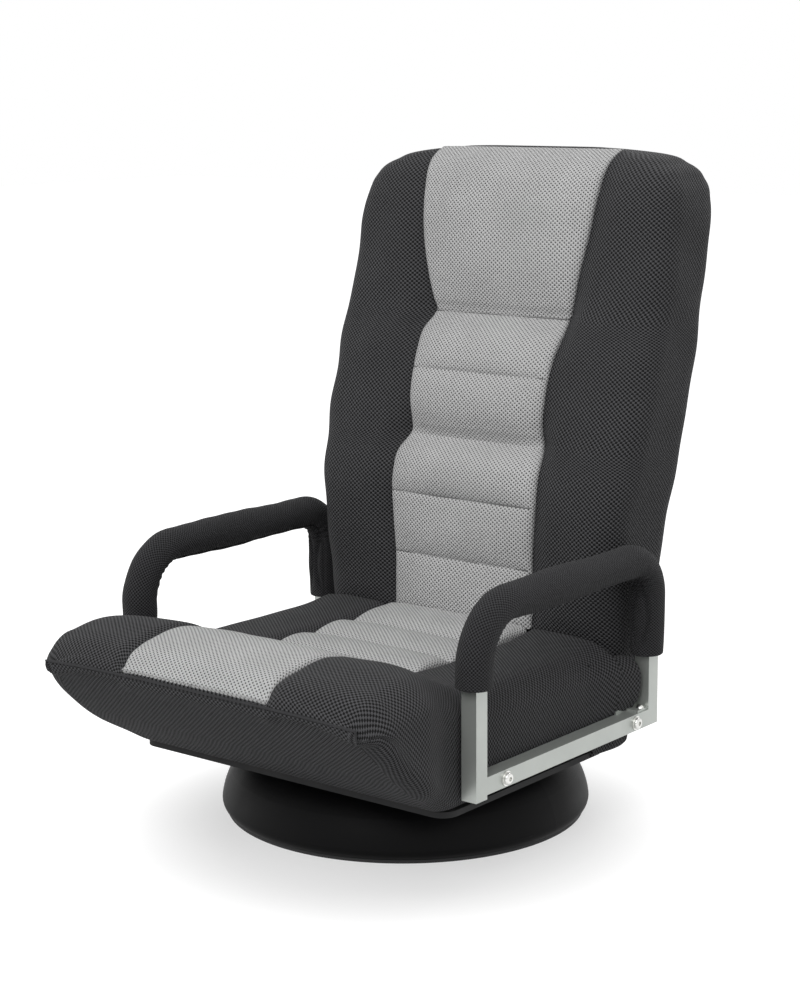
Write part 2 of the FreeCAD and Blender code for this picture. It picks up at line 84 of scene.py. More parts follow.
def add_node(tree: bpy.types.NodeTree, kind: str, inputs: dict[Any, Any] | None = None,
             **settings: Any) -> Any:
    """Add one shader node, set its options and fill or link its inputs.

    Args:
        tree: node tree that gets the node.
        kind: Blender's node type name.
        inputs: socket name or number to a constant, or to the socket that feeds it.
        settings: attributes of the node.

    Returns:
        The new node.
    """
    node = tree.nodes.new(kind)
    for key, value in settings.items():
        setattr(node, key, value)
    for key, value in (inputs or {}).items():
        if isinstance(value, bpy.types.NodeSocket):
            tree.links.new(value, node.inputs[key])
        else:
            node.inputs[key].default_value = value
    return node


def math_node(tree: bpy.types.NodeTree, operation: str, *values: Any) -> Any:
    """Add one arithmetic step and return its output socket."""
    return add_node(tree, "ShaderNodeMath", dict(enumerate(values)), operation=operation).outputs[0]


def add_object(name: str, data: bpy.types.ID | None) -> bpy.types.Object:
    """Make an object at the origin and link it to the scene."""
    obj = bpy.data.objects.new(name, data)
    bpy.context.scene.collection.objects.link(obj)
    return obj


def hermite(t: Array, xs: list[float], ys: list[float]) -> Array:
    """Smooth curve through points: cubic pieces whose slopes are the points' central differences.

    Args:
        t: places to read the curve at, clipped to the points' span.
        xs: rising places of the points.
        ys: values of the points.

    Returns:
        Values at t.
    """
    x = np.asarray(xs, float)
    y = np.asarray(ys, float)
    slope = np.gradient(y, x)
    t = np.clip(np.asarray(t, float), x[0], x[-1])
    i = np.clip(np.searchsorted(x, t) - 1, 0, len(x) - 2)
    h = x[i + 1] - x[i]
    s = (t - x[i]) / h
    a = (1 + 2 * s) * (1 - s) ** 2 * y[i] + s * (1 - s) ** 2 * h * slope[i]
    return a + s * s * (3 - 2 * s) * y[i + 1] + s * s * (s - 1) * h * slope[i + 1]


def bump_at(t: Array, centre: float, width: float) -> Array:
    """Bell curve of height 1 at centre, with the given half-width."""
    return np.exp(-((t - centre) / width) ** 2)


def ripple(a: Array, b: Array, size: float, seed: int) -> Array:
    """Slow uneven swelling: three crossed sine waves with seeded directions, about -1 to 1.

    Args:
        a: first surface coordinate in metres.
        b: second surface coordinate in metres.
        size: wavelength in metres.
        seed: number that fixes the directions.

    Returns:
        Heights on the same grid.
    """
    rng = np.random.default_rng(seed)
    total = np.zeros(np.broadcast(a, b).shape)
    waves = 3
    turns = rng.uniform(0, math.pi, waves)
    phases = rng.uniform(0, 6.28, waves)
    scales = rng.uniform(0.7, 1.5, waves)
    for turn, phase, scale in zip(turns, phases, scales):
        k = 2 * math.pi / (size * scale)
        total = total + np.sin(k * (a * math.cos(turn) + b * math.sin(turn)) + phase)
    return total / waves


def loop_points(w: Array, b0: Array, b1: Array, r0: Array, r1: Array,
                counts: tuple[int, int, int]) -> tuple[Array, Array]:
    """Rounded rectangles, one per row: top flat, corner, side, corner, half the bottom, then mirrored.

    The loop starts at the top's middle and runs clockwise, so its length from there is the same on both sides.

    Args:
        w: half-widths, one per row.
        b0: bottoms.
        b1: tops.
        r0: bottom corner radii.
        r1: top corner radii.
        counts: points on half a flat, on a corner, on a side.

    Returns:
        Side and height coordinates, rows by points.
    """
    flat, corner, side = counts
    w, b0, b1, r0, r1 = (np.asarray(v, float)[:, None] for v in (w, b0, b1, r0, r1))
    f = np.linspace(0, 1, flat, endpoint=False)[None]
    q = np.linspace(0, math.pi / 2, corner, endpoint=False)[None]
    s = np.linspace(0, 1, side, endpoint=False)[None]
    one = np.ones_like(f)
    parts = [(f * (w - r1), b1 * one),
             (w - r1 + r1 * np.sin(q), b1 - r1 + r1 * np.cos(q)),
             (w * np.ones_like(s), b1 - r1 + s * (b0 + r0 - b1 + r1)),
             (w - r0 + r0 * np.cos(q), b0 + r0 - r0 * np.sin(q)),
             ((1 - f) * (w - r0), b0 * one)]
    a = np.concatenate([p[0] for p in parts], axis=1)
    b = np.concatenate([p[1] for p in parts], axis=1)
    zero = np.zeros((len(a), 1))
    across = np.concatenate([a, zero, -a[:, :0:-1]], axis=1)
    return across, np.concatenate([b, b0, b[:, :0:-1]], axis=1)


def run_lengths(points: Array, axis: int) -> Array:
    """Distance along one grid direction, starting at 0; round a row it ends with the closing step."""
    if axis == 1:
        points = np.concatenate([points, np.take(points, [0], axis)], axis)
    step = np.linalg.norm(np.diff(points, axis=axis), axis=2)
    pad = [(0, 0), (0, 0)]
    pad[axis] = (1, 0)
    return np.pad(np.cumsum(step, axis=axis), pad)


def grid_object(name: str, points: Array, own: int = 0, under: int = 0) -> bpy.types.Object:
    """Make a mesh from a grid of points, with a UV map in metres along the surface.

    Args:
        name: piece name.
        points: rows by columns by 3, in metres.
        own: first rows, mapped down each column; the rest share the first column's lengths.
        under: column where the underside starts, mapped from its own middle; 0 if it has none.

    Returns:
        The object, linked to the scene, smooth shaded, with its faces turned outwards.
    """
    rows, cols = points.shape[:2]
    i, j = np.meshgrid(np.arange(rows - 1), np.arange(cols), indexing="ij")
    k = (j + 1) % cols
    quads = np.stack([i * cols + j, i * cols + k, (i + 1) * cols + k, (i + 1) * cols + j], -1).reshape(-1, 4)
    faces = quads.tolist()
    faces.append(list(range(cols - 1, -1, -1)))
    faces.append(list(range((rows - 1) * cols, rows * cols)))
    mesh = bpy.data.meshes.new(name)
    mesh.from_pydata(points.reshape(-1, 3), [], faces)
    run = run_lengths(points, 1)
    v = run_lengths(points, 0)
    shared = np.repeat(v[:, :1], cols + 1, 1)
    shared[:own, :cols] = shared[own, :cols] - v[own] + v[:own]
    shared[:own, cols] = shared[:own, 0]
    half = np.where(np.arange(cols + 1) * 2 > cols, -1, 1)
    uv = np.stack([np.minimum(run, run[:, -1:] - run) * half, shared], -1)
    below = np.stack([run - run[:, [cols // 2]], shared], -1)
    corner = np.stack([uv[i, j], uv[i, j + 1], uv[i + 1, j + 1], uv[i + 1, j]], 2)
    lower = np.stack([below[i, j], below[i, j + 1], below[i + 1, j + 1], below[i + 1, j]], 2)
    is_under = (under > 0) & (j >= under) & (j < cols - under)
    flat = np.where(is_under[..., None, None], lower, corner).reshape(-1, 2)
    flat = np.concatenate([flat, uv[0, :cols][::-1], uv[-1, :cols]])
    layer = mesh.uv_layers.new(name="cloth")
    layer.data.foreach_set("uv", flat.astype(np.float32).ravel())
    mesh.polygons.foreach_set("use_smooth", np.ones(len(mesh.polygons), bool))
    mesh.update()
    turn_outwards(mesh)
    return add_object(name, mesh)


def turn_outwards(mesh: bpy.types.Mesh) -> None:
    """Flip every face if the closed shell's signed volume is negative."""
    mesh.calc_loop_triangles()
    co = np.empty(len(mesh.vertices) * 3)
    mesh.vertices.foreach_get("co", co)
    tri = np.empty(len(mesh.loop_triangles) * 3, np.int32)
    mesh.loop_triangles.foreach_get("vertices", tri)
    p = co.reshape(-1, 3)[tri].reshape(-1, 3, 3)
    if np.einsum("ij,ij->i", p[:, 0], np.cross(p[:, 1], p[:, 2])).sum() < 0:
        mesh.flip_normals()


def shrink_rows(points: Array, steps: int, depth: float, first: bool) -> Array:
    """Rows that close an end as a soft dome: they shrink to its middle along a quarter circle.

    Args:
        points: rows by columns by 3.
        steps: number of rows to add.
        depth: how far the dome stands out, in metres.
        first: add them before the first row, else after the last.

    Returns:
        The longer grid.
    """
    edge = points[0] if first else points[-1]
    near = points[1] if first else points[-2]
    middle = edge.mean(0)
    out = middle - near.mean(0)
    out = out / max(np.linalg.norm(out), 1e-9)
    q = np.linspace(0, math.pi / 2, steps + 1)[1:, None, None] * END_TURN
    rows = middle + (edge - middle)[None] * np.cos(q) + out * depth * np.sin(q)
    return np.concatenate([rows[::-1], points]) if first else np.concatenate([points, rows])


def lip_rows(points: Array, steps: int, depth: float) -> Array:
    """Rows before the first that close a flat end as a lip: heights shrink along a quarter circle.

    Args:
        points: rows by columns by 3.
        steps: number of rows to add.
        depth: how far the lip stands out towards -y, in metres.

    Returns:
        The longer grid.
    """
    edge = points[0]
    level = (edge[:, 2].max() + edge[:, 2].min()) / 2
    middle = np.stack([edge[:, 0], edge[:, 1], np.full(len(edge), level)], -1)
    q = np.linspace(0, math.pi / 2, steps + 1)[:0:-1, None, None] * END_TURN
    rows = middle + (edge - middle)[None] * np.cos(q) + np.array([0.0, -depth, 0.0]) * np.sin(q)
    return np.concatenate([rows, points])


def tube_along(path: Array, radius: Array, side: Array, sides: int) -> Array:
    """Circle carried along a path: each point is path + radius * (side * cos + normal * sin).

    Args:
        path: points by 3.
        radius: points by sides, or points by 1.
        side: unit vector square to the path everywhere.
        sides: points round the circle.

    Returns:
        Grid of points, path by circle by 3.
    """
    tangent = np.gradient(path, axis=0)
    tangent = tangent / np.linalg.norm(tangent, axis=1, keepdims=True)
    normal = np.cross(tangent, side)
    normal = normal / np.linalg.norm(normal, axis=1, keepdims=True)
    across = np.cross(normal, tangent)
    q = np.linspace(0, 2 * math.pi, sides, endpoint=False)[None, :, None]
    ring = across[:, None] * np.cos(q) + normal[:, None] * np.sin(q)
    return path[:, None] + ring * np.asarray(radius)[..., None]


def seen_rays(tree: bpy.types.NodeTree) -> Any:
    """Add a socket that is 1 for the camera's rays and for mirror rays, else 0."""
    ray = add_node(tree, "ShaderNodeLightPath").outputs
    seen = math_node(tree, "MAXIMUM", ray["Is Camera Ray"], ray["Is Glossy Ray"])
    return math_node(tree, "MAXIMUM", seen, ray["Is Transmission Ray"])


def new_material(name: str, inputs: dict[str, Any]) -> tuple[bpy.types.Material, bpy.types.NodeTree, Any]:
    """Start a node material and return it with its tree and its surface shader, whose constants are given."""
    material = bpy.data.materials.new(name)
    material.use_nodes = True
    tree = material.node_tree
    tree.nodes.clear()
    shader = add_node(tree, "ShaderNodeBsdfPrincipled", inputs)
    add_node(tree, "ShaderNodeOutputMaterial", {"Surface": shader.outputs[0]})
    return material, tree, shader


@dataclass(frozen=True)
class AirMesh:
    """Knitted polyester spacer mesh: rows of eyelets, each shifted by half a stitch, over a dark backing.

    The eye sees a matt cloth with small dark eyelets between lighter yarn, and a faint sheen at its edges; the
    eyelets' dark is partly the backing and partly painted shade inside them.
    """

    name: str
    yarn: str
    eyelet: str
    stitch_mm: tuple[float, float] = (6.0, 5.2)
    depth: float = 0.5
    sheen: float = 0.12
    hole: tuple[float, float] = (0.05, 0.7)

    def build(self) -> bpy.types.Material:
        """Eyelet field = cos(2 pi u / stitch) * cos(2 pi v / row), which peaks on a staggered lattice."""
        material, tree, shader = new_material(self.name, {
            "Roughness": 0.86, "Specular IOR Level": 0.25, "Sheen Weight": self.sheen, "Sheen Roughness": 0.45})
        uv = add_node(tree, "ShaderNodeUVMap", uv_map="cloth").outputs[0]
        axes = add_node(tree, "ShaderNodeSeparateXYZ", {0: uv})
        waves = []
        for socket, pitch in zip((axes.outputs[0], axes.outputs[1]), self.stitch_mm):
            turn = math_node(tree, "MULTIPLY", socket, 2 * math.pi * 1000 / pitch)
            waves.append(math_node(tree, "COSINE", turn))
        field = math_node(tree, "MULTIPLY", waves[0], waves[1])
        shaded_eyelets = add_node(tree, "ShaderNodeMapRange",
                         {0: field, 1: self.hole[0], 2: self.hole[1], 3: 0.0, 4: 1.0},
                         interpolation_type="SMOOTHSTEP").outputs[0]
        spot = add_node(tree, "ShaderNodeTexCoord").outputs["Object"]
        cloud = add_node(tree, "ShaderNodeTexNoise",
                         {"Vector": spot, "Scale": 1000.0 / CLOUD_MM, "Detail": 3.0}).outputs[0]
        fuzz = add_node(tree, "ShaderNodeTexNoise",
                        {"Vector": spot, "Scale": 1000.0 / NAP_MM, "Detail": 2.0}).outputs[0]
        tone = math_node(tree, "MULTIPLY_ADD", cloud, 0.22, 0.78)
        tone = math_node(tree, "MULTIPLY_ADD", fuzz, 0.24, tone)
        yarn = add_node(tree, "ShaderNodeVectorMath", {0: linear(self.yarn)[:3], "Scale": tone},
                        operation="SCALE").outputs[0]
        # a colour mix takes its factor and colours at sockets 0, 6 and 7 and gives its colour at 2
        # the eyelets take the dark colour, which is partly the backing and partly painted shade inside each
        # eyelet
        mix = add_node(tree, "ShaderNodeMix", {0: shaded_eyelets, 6: yarn, 7: linear(self.eyelet)}, data_type="RGBA")
        rise = math_node(tree, "MULTIPLY_ADD", field, -0.5, math_node(tree, "MULTIPLY", fuzz, 0.35))
        bump = add_node(tree, "ShaderNodeBump",
                        {"Strength": self.depth, "Distance": 0.0012, "Height": rise}).outputs[0]
        tree.links.new(mix.outputs[2], shader.inputs["Base Color"])
        tree.links.new(bump, shader.inputs["Normal"])
        return material


@dataclass(frozen=True)
class Coated:
    """Painted, plated or moulded surface: one colour, slightly mottled, with fine grain in relief.

    The eye sees an even skin whose highlight is broken a little by the grain.
    """

    name: str
    color: str
    worn: str
    roughness: float
    metallic: float
    grain_mm: float
    relief: float
    specular: float = 0.5

    def build(self) -> bpy.types.Material:
        """Colour and roughness vary with cloudy noise, relief with noise of the grain's real size."""
        material, tree, shader = new_material(self.name, {
            "Metallic": self.metallic, "Specular IOR Level": self.specular})
        spot = add_node(tree, "ShaderNodeTexCoord").outputs["Object"]
        cloud = add_node(tree, "ShaderNodeTexNoise",
                         {"Vector": spot, "Scale": 1000.0 / MOTTLE_MM, "Detail": 4.0}).outputs[0]
        grain = add_node(tree, "ShaderNodeTexNoise",
                         {"Vector": spot, "Scale": 1000.0 / self.grain_mm, "Detail": 2.0}).outputs[0]
        mix = add_node(tree, "ShaderNodeMix", {0: cloud, 6: linear(self.color), 7: linear(self.worn)},
                       data_type="RGBA")
        gloss = math_node(tree, "MULTIPLY_ADD", cloud, 0.16, self.roughness - 0.08)
        bump = add_node(tree, "ShaderNodeBump",
                        {"Strength": self.relief, "Distance": 0.0004, "Height": grain}).outputs[0]
        tree.links.new(mix.outputs[2], shader.inputs["Base Color"])
        tree.links.new(gloss, shader.inputs["Roughness"])
        tree.links.new(bump, shader.inputs["Normal"])
        return material


class Finish(Enum):
    """Every finish on the chair, keyed to the record's material slots."""

    # third colour: the eyelets' dark, partly the backing and partly painted shade inside them
    MESH_BLACK = AirMesh("spacer_mesh_black", "#545456", "#020203", depth=1.0, sheen=0.03, hole=(-0.3, 0.3))
    MESH_GREY = AirMesh("spacer_mesh_grey", "#cccccc", "#4a4a4a", depth=0.9, hole=(0.05, 0.85))
    SLEEVE = AirMesh("spacer_mesh_sleeve", "#3f3f41", "#020203", (4.2, 3.6), 0.9, 0.03, (-0.3, 0.4))
    # epoxy powder on steel tube: satin, a little orange peel
    SILVER_PAINT = Coated("silver_powder_coat", "#bfc3be", "#b2b6b2", 0.34, 0.55, 1.6, 0.10)
    # bright zinc on turned steel
    ZINC = Coated("bright_zinc_plate", "#dededb", "#cfcfcc", 0.24, 1.0, 0.8, 0.08)
    FRAME_PAINT = Coated("black_powder_coat", "#1a1a1b", "#232324", 0.42, 0.0, 1.6, 0.12)
    # polypropylene moulding with a fine spark texture
    BASE_SHELL = Coated("moulded_black_shell", "#070708", "#0c0c0d", 0.5, 0.0, 0.9, 0.18, 0.10)
    FLOOR_PAD = Coated("floor_pad_rubber", "#262627", "#303031", 0.7, 0.0, 1.2, 0.3)
    UNDER_BOARD = Coated("lined_board", "#161617", "#1f1f20", 0.8, 0.0, 1.5, 0.4)
    PLUG = Coated("moulded_black_plug", "#1c1c1d", "#252526", 0.5, 0.0, 1.0, 0.15)
    # dark grey thread laid in the seam valleys: painted shade lines along the seams
    GREY_THREAD = Coated("seam_shade_thread", "#636363", "#707070", 0.85, 0.0, 1.0, 0.5)
    THREAD = Coated("polyester_piping", "#1d1d1f", "#29292b", 0.8, 0.0, 1.0, 0.5)


class Finishes:
    """Materials made once and handed out by finish."""

    def __init__(self) -> None:
        """Build every material."""
        self.made = {finish: finish.value.build() for finish in Finish}

    def dress(self, obj: bpy.types.Object, finish: Finish) -> None:
        """Give a piece its material."""
        obj.data.materials.clear()
        obj.data.materials.append(self.made[finish])

    def dress_nodes(self, nodes: dict[str, bpy.types.Object], rows: list[dict[str, Any]]) -> None:
        """Give each carried-over node the finish of its slot.

        Args:
            nodes: node name to object.
            rows: the record's sub-part rows.
        """
        for row in rows:
            material = self.made[Finish[row["material_slot"].upper()]]
            for slot in nodes[row["node"]].material_slots:
                slot.material = material


@dataclass
class SoftPiece:
    """A padded piece: what it is called, what it stands for, what it rides on and its finish.

    own_rows and under are grid_object's. A piece given held, the heights of a piece sewn down at the crease, is
    fixed where it stands and rides on no body; the heights themselves are not read.
    """

    name: str
    nodes: tuple[str, ...]
    body: Body
    finish: Finish
    fill: float
    own_rows: int = 0
    under: int = 0
    held: tuple[float, float] | None = None

    def place(self, points: Array, finishes: Finishes) -> bpy.types.Object:
        """Args:
            points: closed grid of points.
            finishes: the materials.

        Returns:
            The piece.
        """
        obj = grid_object(self.name, points, self.own_rows, self.under)
        finishes.dress(obj, self.finish)
        if self.nodes:
            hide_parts(*self.nodes)
        if self.held:
            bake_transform(obj)
        else:
            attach(obj, self.body.value)
        LOG.info("%s: %d faces", self.name, len(obj.data.polygons))
        return obj


def sew(name: str, path: Array, radius: float, body: Body, finish: Finish,
        finishes: Finishes) -> bpy.types.Object:
    """Lay a thread or piping along a path as a thin tube.

    Args:
        name: piece name.
        path: points by 3, nowhere running straight up.
        radius: thread radius in metres.
        body: what it rides on.
        finish: its finish.
        finishes: the materials.

    Returns:
        The piece.
    """
    points = tube_along(path, np.full((len(path), 1), radius), np.array([0.0, 0.0, 1.0]), 10)
    obj = grid_object(name, points)
    finishes.dress(obj, finish)
    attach(obj, body.value)
    LOG.info("%s: %d faces", name, len(obj.data.polygons))
    return obj


@dataclass
class SeatPad:
    """Seat: wedge-fronted cushion, sewn channel panel and the panel over the rolled nose. In metres."""

    half: float = 0.2395
    nose_half: float = 0.2585
    nose_corner: float = 0.036
    panel_half: float = 0.108
    rear: float = 0.102
    step: float = -0.221
    tip: float = -0.369
    under: float = 0.0922
    nose_run: float = 0.055
    top_r: float = 0.036
    under_r: float = 0.014
    drawn: float = 0.012
    valley: float = 0.007
    edge_fall: float = 0.007
    lip: float = 0.0045
    panel_sink: float = 0.012
    panel_fall: float = 0.0035
    bulge: float = 0.021
    bulge_from: float = 0.030
    bulge_run: float = 0.100
    bar_top: float = 0.117
    bulge_rise: float = 0.038
    bulge_crown: float = 0.176
    bulge_drop: float = 0.034
    nose_rows: int = 46
    lip_steps: int = 5
    welt_rows: int = 11
    under_column: int = 86
    seams: tuple[float, ...] = (-0.147, -0.115, -0.049, 0.026, 0.1045)
    lows: tuple[float, ...] = (-0.003, -0.0065, -0.007, -0.007, 0.003)

    def top(self, y: Array) -> Array:
        """Height of the upper surface on the middle line."""
        ys = [self.tip, -0.360, -0.345, -0.325, -0.300, -0.270, -0.240, -0.205, -0.175, -0.143,
              -0.100, -0.040, 0.060, 0.110]
        zs = [0.2385, 0.2495, 0.2565, 0.2605, 0.2645, 0.2625, 0.2545, 0.238, 0.2245, 0.2155,
              0.2125, 0.212, 0.213, 0.217]
        return hermite(y, ys, zs)

    def belly(self, y: Array) -> Array:
        """Height of the underside on the middle line: flat on the frame, then a curve up to the nose."""
        return hermite(y, [self.tip, -0.360, -0.346, -0.309, -0.255, self.step, -0.18, 0.11],
                       [0.2195, 0.2045, 0.1865, 0.149, 0.112, self.under, self.under, self.under])

    def width(self, y: Array) -> Array:
        """Half-width in plan: it swells in front of the armrests and ends in round corners at the nose."""
        s = np.clip((self.step - y) / 0.065, 0, 1)
        swell = (self.nose_half - self.half) * s * s * (3 - 2 * s)
        depth = np.clip(self.nose_corner - (y - self.tip), 0, self.nose_corner)
        return self.half + swell - self.nose_corner + np.sqrt(self.nose_corner ** 2 - depth ** 2)

    def loop_bulge(self, y: Array, z: Array) -> Array:
        """How far the side swells out in the armrest's loop, most at its rear end and above the bar."""
        along = np.clip((y - self.bulge_from) / self.bulge_run, 0, 1)
        rise = np.clip((z - self.bar_top) / self.bulge_rise, 0, 1)
        fall = np.clip((z - self.bulge_crown) / self.bulge_drop, 0, 1)
        return self.bulge * along ** 2 * rise ** 2 * (3 - 2 * rise) * (1 - fall ** 2)

    def cushion_grid(self) -> Array:
        """Black cushion from its front lip on: rounded sections along y, with seam valleys by the panels."""
        q = np.linspace(0.12, 1, self.nose_rows)
        nose = self.tip + self.nose_run * (1 - np.cos(q * math.pi / 2))
        y = np.concatenate([nose, np.linspace(nose[-1], self.rear, 112)[1:]])
        top = self.top(y)
        bottom = np.minimum(self.belly(y), top - 0.008)
        tall = top - bottom
        lift = np.clip((-0.15 - y) / 0.06, 0, 1)
        r1 = np.minimum(self.top_r + 0.004 * lift, ROUND_SHARE * tall)
        r0 = np.minimum(self.under_r + 0.012 * lift, ROUND_SHARE * tall)
        a, b = loop_points(self.width(y), bottom, top, r0, r1, (40, 16, 14))
        yy = np.broadcast_to(y[:, None], a.shape)
        upper = np.clip((b - (top - 0.05)[:, None]) / 0.04, 0, 1)
        edge = np.abs(np.abs(a) - self.panel_half)
        covered = np.clip((self.panel_half - np.abs(a)) / 0.006, 0, 1)
        across = (a / self.width(y)[:, None]) ** 4
        # the top falls away to the sides, more so towards the nose
        fall = self.edge_fall + 0.005 * lift + 0.008 * np.clip((self.tip + 0.030 - y) / 0.030, 0, 1)
        puff = 0.003 * bump_at(np.abs(a), 0.172, 0.045) - fall[:, None] * across
        b = b + upper * (puff - self.valley * (np.exp(-(edge / 0.008) ** 2) + covered))
        soft = 0.0012 * ripple(a + b, yy, 0.09, 3) * (b > bottom[:, None] + 0.004)
        side = np.clip((np.abs(a) - self.width(y)[:, None] + 0.04) / 0.03, 0, 1)
        a = a + np.sign(a) * soft * side
        # the sides draw in a little half-way up
        rise = np.clip((b - bottom[:, None]) / tall[:, None], 0, 1)
        a = a * (1 - self.drawn * side * np.sin(rise * math.pi) ** 2)
        a = a + np.sign(a) * self.loop_bulge(yy, b) * side
        points = np.stack([a, yy, b + soft * upper], -1)
        return lip_rows(points, self.lip_steps, self.lip)

    def cushion(self, finishes: Finishes) -> bpy.types.Object:
        """Cushion with its rear end closed."""
        points = shrink_rows(self.cushion_grid(), 6, 0.006, False)
        own = self.nose_rows + self.lip_steps
        piece = SoftPiece("seat_cushion_cover", ("seat_cushion",), Body.SEAT, Finish.MESH_BLACK, 0.8, own,
                          self.under_column)
        return piece.place(points, finishes)

    def panel(self, name: str, node: str, y: Array, lift: Array, finishes: Finishes) -> bpy.types.Object:
        """Grey pad: flat rounded sections along y whose top follows the cushion plus a given lift.

        Args:
            name: piece name.
            node: the node that it stands for.
            y: rows.
            lift: height of each row's crown over the cushion's top line.
            finishes: the materials.

        Returns:
            The piece.
        """
        crown = self.top(y) + lift
        floor = self.top(y) - self.panel_sink
        half = np.full_like(y, self.panel_half)
        radius = np.minimum(0.0075, 0.45 * (crown - floor))
        a, b = loop_points(half, floor, crown, np.full_like(y, 0.003), radius, (34, 8, 3))
        yy = np.broadcast_to(y[:, None], a.shape)
        upper = np.clip((b - floor[:, None]) / (crown - floor)[:, None], 0, 1)
        b = b - upper * self.panel_fall * (np.abs(a) / self.panel_half) ** 4
        b = b + upper * 0.0008 * ripple(a, yy, 0.07, 11)
        points = np.stack([a, yy, b], -1)
        points = shrink_rows(lip_rows(points, 3, 0.003), 3, 0.002, False)
        return SoftPiece(name, (node,), Body.SEAT, Finish.MESH_GREY, 0.7, 4).place(points, finishes)

    def channels(self, finishes: Finishes) -> bpy.types.Object:
        """Channel panel: the root of a half sine between seams, so that each seam is a sharp valley."""
        y = np.linspace(self.seams[0], self.seams[-1], 150)
        lift = channel_lift(y, self.seams, (0.003, 0.006, 0.0065, 0.0065), self.lows)
        return self.panel("seat_channel_pad", "seat_channel_panel", y, lift, finishes)

    def nose(self, finishes: Finishes) -> bpy.types.Object:
        """Panel over the rolled nose, from the first channel to the front seam."""
        front = self.tip + 0.0003
        y = np.linspace(front, self.seams[0] - 0.0005, 110)
        s = np.clip((y - front) / (self.seams[0] - front), 0, 1)
        lift = 0.003 * np.sin(s * math.pi) ** 0.5 - 0.0005
        return self.panel("seat_nose_pad", "seat_nose_panel", y, lift, finishes)

    def welt(self, finishes: Finishes) -> bpy.types.Object:
        """Piping in the seam between the nose and the wedge: a thin tube along the nose's front edge."""
        grid = self.cushion_grid()[:self.welt_rows]
        right = int(np.argmax(grid[-1, :, 0]))
        left = int(np.argmin(grid[-1, :, 0]))
        lip = grid[0]
        middle = float(np.mean(lip[np.abs(lip[:, 0]) < 0.02, 2])) + 0.003
        x = np.linspace(lip[left, 0], lip[right, 0], 120)[1:-1]
        drop = middle - (lip[left, 2] + lip[right, 2]) / 2
        z = middle - drop * (x / lip[right, 0]) ** 4
        front = np.stack([x, np.full_like(x, lip[0, 1]), z], -1)
        path = np.concatenate([grid[::-1, left], front, grid[:, right]])
        # both ends run out into the cushion
        ends = np.clip(np.abs(np.linspace(-1, 1, len(path))) - 0.88, 0, None) / 0.12
        path = path * np.stack([1 - 0.012 * ends ** 2, np.ones_like(ends), np.ones_like(ends)], -1)
        return sew("seat_nose_welt", path, WELT_R, Body.SEAT, Finish.THREAD, finishes)

    def threads(self, finishes: Finishes) -> list[bpy.types.Object]:
        """Dark thread in the valley of each seam across the channel panel, a painted shade line along each
        seam.
        """
        x = np.linspace(-0.97, 0.97, 60) * self.panel_half
        pieces = []
        for number, (y, low) in enumerate(zip(self.seams[:4], self.lows), 1):
            z = self.top(y) + low + 0.0002 - self.panel_fall * (np.abs(x) / self.panel_half) ** 4
            path = np.stack([x, np.full_like(x, y), z], -1)
            name = f"seat_seam_{number}"
            pieces.append(sew(name, path, THREAD_R, Body.SEAT, Finish.GREY_THREAD, finishes))
        return pieces

    def build(self, finishes: Finishes) -> list[bpy.types.Object]:
        """Make the seat's soft pieces."""
        pads = [self.cushion(finishes), self.channels(finishes), self.nose(finishes), self.welt(finishes)]
        return pads + self.threads(finishes)


def channel_lift(t: Array, seams: tuple[float, ...], crowns: tuple[float, ...],
                 lows: tuple[float, ...]) -> Array:
    """Sewn channels: each seam has its low, and between two seams sin(pi s) ** 0.5 swells to the crown.

    Args:
        t: places along the panel.
        seams: rising seam places.
        crowns: height in the middle of each channel.
        lows: height at each seam.

    Returns:
        Heights at t.
    """
    edges = np.asarray(seams)
    low = np.interp(t, edges, lows)
    i = np.clip(np.searchsorted(edges, t, side="right") - 1, 0, len(edges) - 2)
    s = (t - edges[i]) / (edges[i + 1] - edges[i])
    swell = np.sin(np.clip(s, 0, 1) * math.pi) ** 0.5
    return low + swell * (np.asarray(crowns)[i] - low)


